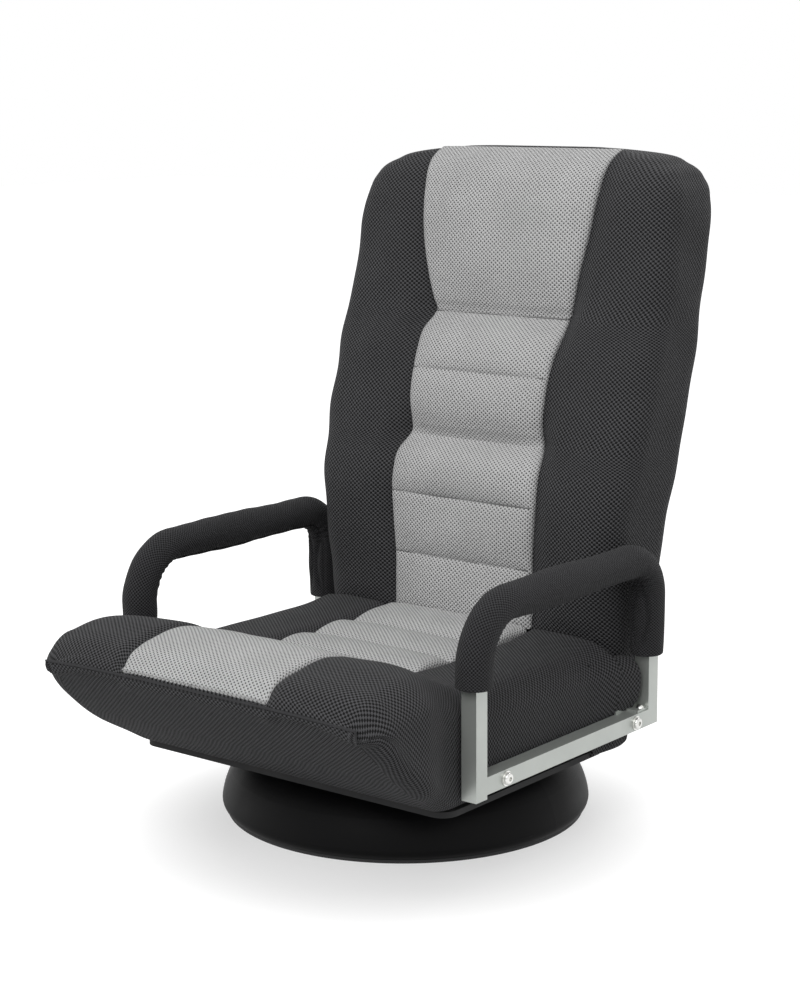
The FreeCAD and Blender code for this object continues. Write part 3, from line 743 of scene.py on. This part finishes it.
@dataclass
class BackPad:
    """Back: bolstered cushion, half round below about the hinge, with lumbar and head panels. In metres."""

    half: float = 0.2422
    hinge_y: float = 0.178
    hinge_z: float = 0.180
    round_r: float = 0.062
    crest: float = 0.7905
    shoulder: float = 0.70
    neck: float = 0.5845
    head_top: float = 0.7895
    foot: float = 0.2115
    free_from: float = 0.280
    front_r: float = 0.034
    rear_r: float = 0.050
    panel_fall: float = 0.75
    least_fall: float = 0.002

    def rear(self, z: Array) -> Array:
        """y of the rear surface."""
        zs = [0.18, 0.26, 0.341, 0.432, 0.517, 0.583, 0.650, 0.727, 0.752, 0.772, 0.785, 0.791]
        ys = [0.240, 0.249, 0.257, 0.271, 0.290, 0.306, 0.321, 0.338, 0.340, 0.333, 0.317, 0.299]
        return hermite(z, zs, ys)

    def bolster(self, z: Array) -> Array:
        """y of the front of the black side bolsters."""
        zs = [0.18, 0.24, 0.30, 0.36, 0.43, 0.49, 0.54, 0.583, 0.64, 0.70, 0.74, 0.76, 0.773, 0.785, 0.791]
        ys = [0.116, 0.112, 0.106, 0.106, 0.125, 0.142, 0.156, 0.172, 0.188, 0.201, 0.211, 0.221, 0.234,
              0.251, 0.264]
        return hermite(z, zs, ys)

    def seam(self, z: Array) -> Array:
        """y of the seam between grey and black, which runs deep where lumbar roll and head panel meet."""
        zs = [0.20, 0.29, 0.34, 0.365, 0.39, 0.415, 0.428, 0.435, 0.45, 0.465, 0.49, 0.515,
              0.54, 0.565, 0.580, 0.586, 0.60, 0.64, 0.69, 0.74, 0.765, 0.776, 0.786, 0.791]
        ys = [0.114, 0.114, 0.113, 0.113, 0.117, 0.127, 0.139, 0.1435, 0.1425, 0.141, 0.143, 0.149,
              0.160, 0.177, 0.194, 0.199, 0.198, 0.197, 0.202, 0.213, 0.2235, 0.233, 0.250, 0.263]
        return hermite(z, zs, ys)

    def panel_half(self, z: Array) -> Array:
        """Half-width of the grey panels."""
        zs = [0.20, 0.29, 0.34, 0.365, 0.39, 0.415, 0.434, 0.49, 0.54, 0.565, 0.583, 0.60,
              0.64, 0.69, 0.74, 0.791]
        xs = [0.106, 0.1055, 0.1085, 0.110, 0.110, 0.1085, 0.102, 0.102, 0.104, 0.1055, 0.1025, 0.107,
              0.116, 0.126, 0.132, 0.137]
        return hermite(z, zs, xs)

    def draw_in(self, z: Array) -> Array:
        """How far the sides draw in towards the rounded top corners."""
        return hermite(z, [0.1, 0.30, 0.345, 0.40, 0.44, 0.68, 0.70, 0.727, 0.752, 0.772, 0.785, 0.791],
                       [0.0145, 0.0145, 0.0105, 0.003, 0, 0, 0.0005, 0.004, 0.012, 0.033, 0.078, 0.146])

    def cushion(self, finishes: Finishes) -> bpy.types.Object:
        """Black cushion: rounded sections stacked along z, dipping to the seam beside the grey panels."""
        q = np.radians(np.linspace(10, 90, 26, endpoint=False))
        low = self.hinge_z - self.round_r * np.cos(q)
        s = np.linspace(0, 1, 40)
        high = self.shoulder + (self.crest - self.shoulder) * np.sin(s * math.pi / 2)
        z = np.concatenate([low, np.linspace(self.hinge_z, self.shoulder, 120, endpoint=False), high])
        under = np.clip(self.hinge_z - z, 0, self.round_r)
        reach = np.sqrt(np.maximum(self.round_r ** 2 - under ** 2, 0))
        front = np.where(z < self.hinge_z, self.hinge_y - reach, self.bolster(z))
        rear = np.where(z < self.hinge_z, self.hinge_y + reach, self.rear(z))
        deep = rear - front
        r0 = np.minimum(self.rear_r, ROUND_SHARE * deep)
        r1 = np.minimum(self.front_r, ROUND_SHARE * deep)
        a, b = loop_points(self.half - self.draw_in(z), -rear, -front, r0, r1, (40, 18, 14))
        zz = np.broadcast_to(z[:, None], a.shape)
        fore = np.clip((b + (front + 0.045)[:, None]) / 0.03, 0, 1)
        fore = fore * np.clip((z - 0.2) / 0.03, 0, 1)[:, None]
        half = self.panel_half(z)[:, None]
        s = np.clip((np.abs(a) - half + 0.004) / 0.042, 0, 1)
        s = np.sin(s * math.pi / 2) ** 1.4
        target = -(self.seam(z) + 0.007)[:, None] * (1 - s) + s * b
        b = b * (1 - fore) + fore * target
        b = b + fore * 0.004 * bump_at(np.abs(a), 0.176, 0.03)
        soft = 0.0014 * ripple(a + b, zz, 0.11, 5)
        side = np.clip((np.abs(a) - self.half + 0.05) / 0.04, 0, 1)
        a = a + np.sign(a) * soft * side
        points = np.stack([a, -(b + soft * fore), zz], -1)
        points = shrink_rows(shrink_rows(points, 4, 0.0009, True), 6, 0.0015, False)
        nodes = ("back_cushion", "back_rear_cover")
        piece = SoftPiece("back_cushion_cover", nodes, Body.BACK, Finish.MESH_BLACK, 0.8)
        return piece.place(points, finishes)

    def panel(self, name: str, node: str, z: Array, lift: Array, finishes: Finishes,
              held: tuple[float, float] | None = None) -> bpy.types.Object:
        """Grey pad: flat rounded sections along z in front of the seam line.

        Args:
            name: piece name.
            node: the node that it stands for.
            z: rows.
            lift: how far each row's crown stands in front of the seam line.
            finishes: the materials.
            held: heights of the part sewn down at the crease; when given, the pad is fixed in place and rides
                on no body, and the heights are not read.

        Returns:
            The piece.
        """
        floor = -(self.seam(z) + 0.010)
        crown = -self.seam(z) + lift
        half = self.panel_half(z)
        radius = np.minimum(0.010, ROUND_SHARE * (crown - floor))
        a, b = loop_points(half, floor, crown, np.full_like(z, 0.003), radius, (34, 9, 3))
        zz = np.broadcast_to(z[:, None], a.shape)
        upper = np.clip((b - floor[:, None]) / (crown - floor)[:, None], 0, 1)
        fall = self.panel_fall * np.maximum(lift, self.least_fall)
        b = b - upper * fall[:, None] * (np.abs(a) / half[:, None]) ** 3
        b = b + upper * 0.0009 * ripple(a, zz, 0.08, 17)
        points = np.stack([a, -b, zz], -1)
        points = shrink_rows(shrink_rows(points, 3, 0.0015, True), 3, 0.0015, False)
        piece = SoftPiece(name, (node,), Body.BACK, Finish.MESH_GREY, 0.7, held=held)
        return piece.place(points, finishes)

    def thread(self, name: str, z: float, low: float, finishes: Finishes) -> bpy.types.Object:
        """Dark thread in the valley of one seam across the lumbar panel, a painted shade line along the seam.
        """
        half = float(self.panel_half(np.array(z)))
        x = np.linspace(-0.97, 0.97, 60) * half
        fall = self.panel_fall * max(low, self.least_fall)
        y = float(self.seam(np.array(z))) - low - 0.0002 + fall * (np.abs(x) / half) ** 3
        path = np.stack([x, y, np.full_like(x, z)], -1)
        return sew(name, path, THREAD_R, Body.BACK, Finish.GREY_THREAD, finishes)

    def build(self, finishes: Finishes) -> list[bpy.types.Object]:
        """Make the back's soft pieces."""
        z = np.linspace(self.foot, self.neck - 0.001, 266)
        seams = (0.200, 0.285, 0.363, 0.4325, 0.517, self.neck)
        lows = (0.000, 0.002, 0.003, 0.000, 0.003, 0.000)
        lift = channel_lift(z, seams, (0.011, 0.012, 0.013, 0.013, 0.014), lows)
        for number, (mark, low) in enumerate(zip(seams[1:], lows[1:]), 1):
            self.thread(f"back_seam_{number}", mark, low, finishes)
        held = (self.foot, self.free_from)
        lumbar = self.panel("back_lumbar_pad", "back_lumbar_panel", z, lift, finishes, held)
        s = np.linspace(0, 1, 130)
        z = self.neck + (self.head_top - self.neck) * np.sin(s * math.pi / 2) ** 0.9
        lift = 0.001 + 0.011 * np.sin(np.clip((z - self.neck) / 0.215, 0, 1) * math.pi) ** 0.5
        head = self.panel("back_head_pad", "back_head_panel", z, lift, finishes)
        return [self.cushion(finishes), lumbar, head]


@dataclass
class ArmSleeve:
    """Padded mesh sleeve drawn over one armrest loop. Sizes in metres."""

    side: Side
    x: float = 0.253
    front: float = -0.198
    rear: float = 0.148
    top: float = 0.317
    bend_front: float = 0.063
    bend_rear: float = 0.046
    end_front: float = 0.235
    end_rear: float = 0.200
    radius: float = 0.0208

    def path(self) -> tuple[Array, Array]:
        """Upright, bend, top run, bend, upright; returns the points and how strongly each is bent."""
        q = np.linspace(0, math.pi / 2, 60)
        up = np.linspace(self.end_front, self.top - self.bend_front, 26, endpoint=False)
        run = np.linspace(self.front + self.bend_front, self.rear - self.bend_rear, 90)[1:-1]
        down = np.linspace(self.top - self.bend_rear, self.end_rear, 46)[1:]
        yf, zf = self.front + self.bend_front, self.top - self.bend_front
        yr, zr = self.rear - self.bend_rear, self.top - self.bend_rear
        y = np.concatenate([np.full_like(up, self.front), yf - self.bend_front * np.cos(q), run,
                            yr + self.bend_rear * np.sin(q), np.full_like(down, self.rear)])
        z = np.concatenate([up, zf + self.bend_front * np.sin(q), np.full_like(run, self.top),
                            zr + self.bend_rear * np.cos(q), down])
        bent = np.concatenate([np.zeros_like(up), np.sin(q * 2), np.zeros_like(run), 1.6 * np.sin(q * 2),
                               np.zeros_like(down)])
        return np.stack([np.full_like(y, self.x * self.side), y, z], -1), bent

    def build(self, finishes: Finishes) -> bpy.types.Object:
        """Sleeve: a circle that narrows at the ends, creases inside the bends and dips along its seam."""
        path, bent = self.path()
        s = np.concatenate([[0], np.cumsum(np.linalg.norm(np.diff(path, axis=0), axis=1))])
        total = s[-1]
        sides = 72
        q = np.linspace(0, 2 * math.pi, sides, endpoint=False)[None]
        inner = np.maximum(np.sin(q), 0) ** 2
        end = np.exp(-s / 0.012) + np.exp(-(total - s) / 0.012)
        r = (self.radius + 0.0008 * np.cos(s * 30) - 0.0006 * end)[:, None] * np.ones_like(q)
        crease = 0.5 + 0.5 * np.cos(2 * math.pi * s / 0.0125 + 1.3 * np.sin(s * 90))
        r = r - 0.0026 * (bent * crease)[:, None] * inner
        seam_turn = 2.2 if self.side is Side.LEFT else 0.94
        r = r - 0.0022 * np.exp(-((q - seam_turn) / 0.07) ** 2)
        r = r + 0.0007 * ripple(s[:, None], q * 0.02, 0.05, 23 + self.side)
        # slack cloth hangs in two folds down the rear upright
        slack = np.clip((s - total + 0.115) / 0.04, 0, 1) * np.clip((total - s - 0.004) / 0.012, 0, 1)
        for turn, depth in ((1.15, 0.0042), (1.85, 0.0034)):
            place = turn if self.side is Side.LEFT else math.pi - turn
            wander = place + 0.16 * np.sin(s[:, None] * 70 + turn * 4)
            r = r - depth * slack[:, None] * np.exp(-((q - wander) / 0.15) ** 2)
        points = tube_along(path, r, np.array([1.0, 0.0, 0.0]), sides)
        points = self.hem(self.hem(points, path[0], path[1], True), path[-1], path[-2], False)
        name = "left" if self.side is Side.LEFT else "right"
        piece = SoftPiece(f"arm_sleeve_{name}", (f"arm_pad_{name}",), Body.SEAT, Finish.SLEEVE, 0.75)
        return piece.place(points, finishes)

    def hem(self, points: Array, end: Array, near: Array, first: bool) -> Array:
        """Turn the sleeve's end in to the tube: rings that shrink along a quarter circle of 2 mm."""
        out = (end - near) / np.linalg.norm(end - near)
        ring = points[0] if first else points[-1]
        q = np.linspace(0.2, math.pi / 2, 6)[:, None, None]
        shrink = 1 - 0.12 * (1 - np.cos(q))
        rows = end + (ring - end)[None] * shrink + out * 0.002 * np.sin(q)
        last = end + (ring - end)[None] * np.array([0.75, 0.55])[:, None, None] + out * 0.002
        rows = np.concatenate([rows, last])
        return np.concatenate([rows[::-1], points]) if first else np.concatenate([points, rows])


@dataclass
class CreaseRoll:
    """Stuffed roll that closes the crease between seat and back under the covers."""

    y: float = 0.1065
    z: float = 0.186
    half: float = 0.216
    radius: float = 0.0095

    def build(self, finishes: Finishes) -> bpy.types.Object:
        """Oval tube along x, a little thinner towards its domed ends."""
        x = np.linspace(-self.half, self.half, 80)
        path = np.stack([x, np.full_like(x, self.y), np.full_like(x, self.z)], -1)
        q = np.linspace(0, 2 * math.pi, 24, endpoint=False)[None]
        r = self.radius * (1 + 1.3 * np.abs(np.cos(q)) ** 2) * (1 - 0.15 * (x / self.half)[:, None] ** 6)
        points = tube_along(path, r, np.array([0.0, 0.0, 1.0]), 24)
        points = shrink_rows(shrink_rows(points, 4, 0.004, True), 4, 0.004, False)
        return SoftPiece("crease_roll", (), Body.SEAT, Finish.MESH_BLACK, 0.6).place(points, finishes)


@dataclass
class SeatCheek:
    """End of the seat cover beside the hinge: carries the cushion's side on to the armrest. In metres."""

    side: Side
    seat: SeatPad
    inner: float = 0.2302
    front: float = 0.060
    rear: float = 0.1368
    low: float = 0.0868
    high: float = 0.199
    corner: float = 0.026
    edge: float = 0.010
    shoulder_fall: float = 0.0065

    def outline(self, y: Array, z: Array) -> Array:
        """x of the outer side: the cushion's side line, then a soft bulge into the armrest loop."""
        top = float(self.seat.top(np.array(self.seat.rear))) - self.shoulder_fall
        tall = top - self.seat.under
        drawn = self.seat.drawn * np.sin(np.clip((z - self.seat.under) / tall, 0, 1) * math.pi) ** 2
        turn = np.clip((z - top + self.seat.top_r) / self.seat.top_r, 0, 1)
        line = self.seat.half * (1 - drawn) - self.seat.top_r * (1 - np.sqrt(1 - turn ** 2))
        sunk = np.clip((0.1005 - y) / 0.025, 0, 1)
        return line + 0.0004 - 0.004 * sunk + self.seat.loop_bulge(y, z)

    def build(self, finishes: Finishes) -> bpy.types.Object:
        """Strip of rounded sections along y; height and thickness run out to the rear as quarter circles."""
        run = np.sin(np.linspace(0, math.pi / 2 * END_TURN, 44))[:, None]
        y = self.front + (self.rear - self.front) * run
        end = np.clip((y - self.rear + self.corner) / self.corner, 0, 1)
        drop = self.corner * (1 - np.sqrt(1 - end ** 2))
        low = self.low + 0.5 * drop
        high = self.high - 0.4 * drop
        thin = np.sqrt(1 - np.clip((y - self.rear + self.edge) / self.edge, 0, 1) ** 2)
        q = np.linspace(0, 2 * math.pi, 96, endpoint=False)[None]
        z = (low + high) / 2 + (high - low) / 2 * np.sign(np.sin(q)) * np.abs(np.sin(q)) ** 0.5
        out = 0.5 + 0.5 * np.sign(np.cos(q)) * np.abs(np.cos(q)) ** 0.35
        x = self.inner + (self.outline(y, z) - self.inner) * out * thin
        points = np.stack([self.side * x, np.broadcast_to(y, x.shape), z], -1)
        points = shrink_rows(shrink_rows(points, 3, 0.001, True), 3, 0.0002, False)
        name = f"seat_cheek_{self.side.name.lower()}"
        return SoftPiece(name, (), Body.SEAT, Finish.MESH_BLACK, 0.6).place(points, finishes)


@dataclass
class Studio:
    """Pale floor, soft lamps and the camera of the photograph."""

    azimuth: float = 38.6
    elevation: float = 11.0
    roll: float = -0.4
    distance: float = 2.64
    lens: float = 79.2
    target: tuple[float, float, float] = (0.0, -0.007, 0.380)
    # glow at the chair, which paints a soft pool of shade round it; it rises to 1 between shade_from and
    # shade_to
    floor_glow: float = 0.55
    shade_from: float = 0.19
    shade_to: float = 0.43

    def backdrop(self) -> None:
        """White world for the camera and reflections, and a plain grey level of light for the object."""
        world = bpy.data.worlds.new("studio")
        bpy.context.scene.world = world
        world.use_nodes = True
        tree = world.node_tree
        tree.nodes.clear()
        power = math_node(tree, "MULTIPLY_ADD", seen_rays(tree), 0.62, 0.38)
        shader = add_node(tree, "ShaderNodeBackground", {"Color": (1, 1, 1, 1), "Strength": power})
        add_node(tree, "ShaderNodeOutputWorld", {"Surface": shader.outputs[0]})

    def floor(self) -> None:
        """Large pale floor; a little glow for the camera alone lifts it to white away from the chair, and is
        held lower near the chair to paint a soft pool of shade beside the lamps' own shadow.
        """
        size = 12.0
        mesh = bpy.data.meshes.new("floor")
        corners = [(-size, -size, 0), (size, -size, 0), (size, size, 0), (-size, size, 0)]
        mesh.from_pydata(corners, [], [(0, 1, 2, 3)])
        obj = add_object("floor", mesh)
        material, tree, shader = new_material("pale_floor", {
            "Base Color": linear("#a8a8a8"), "Roughness": 0.9, "Specular IOR Level": 0.1,
            "Emission Color": (1, 1, 1, 1)})
        spot = add_node(tree, "ShaderNodeTexCoord").outputs["Object"]
        # the painted pool of shade lies a little towards the viewer
        spot = add_node(tree, "ShaderNodeVectorMath", {0: spot, 1: (-0.06, 0.08, 0.0)},
                        operation="ADD").outputs[0]
        reach = add_node(tree, "ShaderNodeVectorMath", {0: spot}, operation="LENGTH").outputs["Value"]
        glow_round_painted_shade = add_node(tree, "ShaderNodeMapRange",
                       {0: reach, 1: self.shade_from, 2: self.shade_to, 3: self.floor_glow, 4: 1.0},
                       interpolation_type="SMOOTHSTEP").outputs[0]
        glow = math_node(tree, "MULTIPLY", seen_rays(tree), glow_round_painted_shade)
        tree.links.new(glow, shader.inputs["Emission Strength"])
        mesh.materials.append(material)

    def lamp(self, name: str, place: tuple[float, float, float], size: float, power: float) -> None:
        """Square area lamp aimed at the chair."""
        data = bpy.data.lights.new(name, "AREA")
        data.shape = "SQUARE"
        data.size = size
        data.energy = power
        obj = add_object(name, data)
        obj.location = place
        obj.rotation_euler = (Vector(self.target) - Vector(place)).to_track_quat("-Z", "Y").to_euler()

    def camera(self) -> None:
        """Eye = target + distance * (sin az cos el, -cos az cos el, sin el), looking at the target."""
        az, el = math.radians(self.azimuth), math.radians(self.elevation)
        back = Vector((math.sin(az) * math.cos(el), -math.cos(az) * math.cos(el), math.sin(el)))
        data = bpy.data.cameras.new("photo_camera")
        data.lens = self.lens
        data.sensor_width = 36.0
        data.sensor_fit = "AUTO"
        data.clip_end = 100.0
        obj = add_object("photo_camera", data)
        obj.location = Vector(self.target) + back * self.distance
        turn = Quaternion((0, 0, 1), math.radians(self.roll))
        obj.rotation_euler = ((-back).to_track_quat("-Z", "Y") @ turn).to_euler()
        bpy.context.scene.camera = obj

    def build(self) -> None:
        """Set up floor, world, lamps and camera."""
        bpy.context.scene.view_settings.view_transform = "Standard"
        self.backdrop()
        self.floor()
        self.lamp("key", (0.9, -2.7, 3.0), 2.2, 68.0)
        self.lamp("fill", (-2.6, -1.8, 1.6), 2.0, 9.0)
        self.lamp("side", (2.6, -1.3, 2.5), 2.0, 12.0)
        self.lamp("rim", (0.4, 2.6, 2.6), 1.8, 22.0)
        self.camera()


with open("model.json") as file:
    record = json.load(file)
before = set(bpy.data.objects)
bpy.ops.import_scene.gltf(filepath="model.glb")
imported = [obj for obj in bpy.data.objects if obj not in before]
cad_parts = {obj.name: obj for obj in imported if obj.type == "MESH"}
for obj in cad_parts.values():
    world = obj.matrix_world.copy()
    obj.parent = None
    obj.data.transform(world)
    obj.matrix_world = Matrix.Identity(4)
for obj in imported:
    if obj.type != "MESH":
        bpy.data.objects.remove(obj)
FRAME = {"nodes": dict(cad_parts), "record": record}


def main() -> None:
    """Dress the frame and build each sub-assembly in order."""
    logging.basicConfig(level=logging.INFO, format="%(name)s %(message)s")
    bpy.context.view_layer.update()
    finishes = Finishes()
    finishes.dress_nodes(FRAME["nodes"], FRAME["record"]["subparts"])
    seat = SeatPad()
    seat.build(finishes)
    BackPad().build(finishes)
    CreaseRoll().build(finishes)
    for side in Side:
        ArmSleeve(side).build(finishes)
        SeatCheek(side, seat).build(finishes)
    Studio().build()
    bpy.context.view_layer.update()


if __name__ == "__main__":
    main()
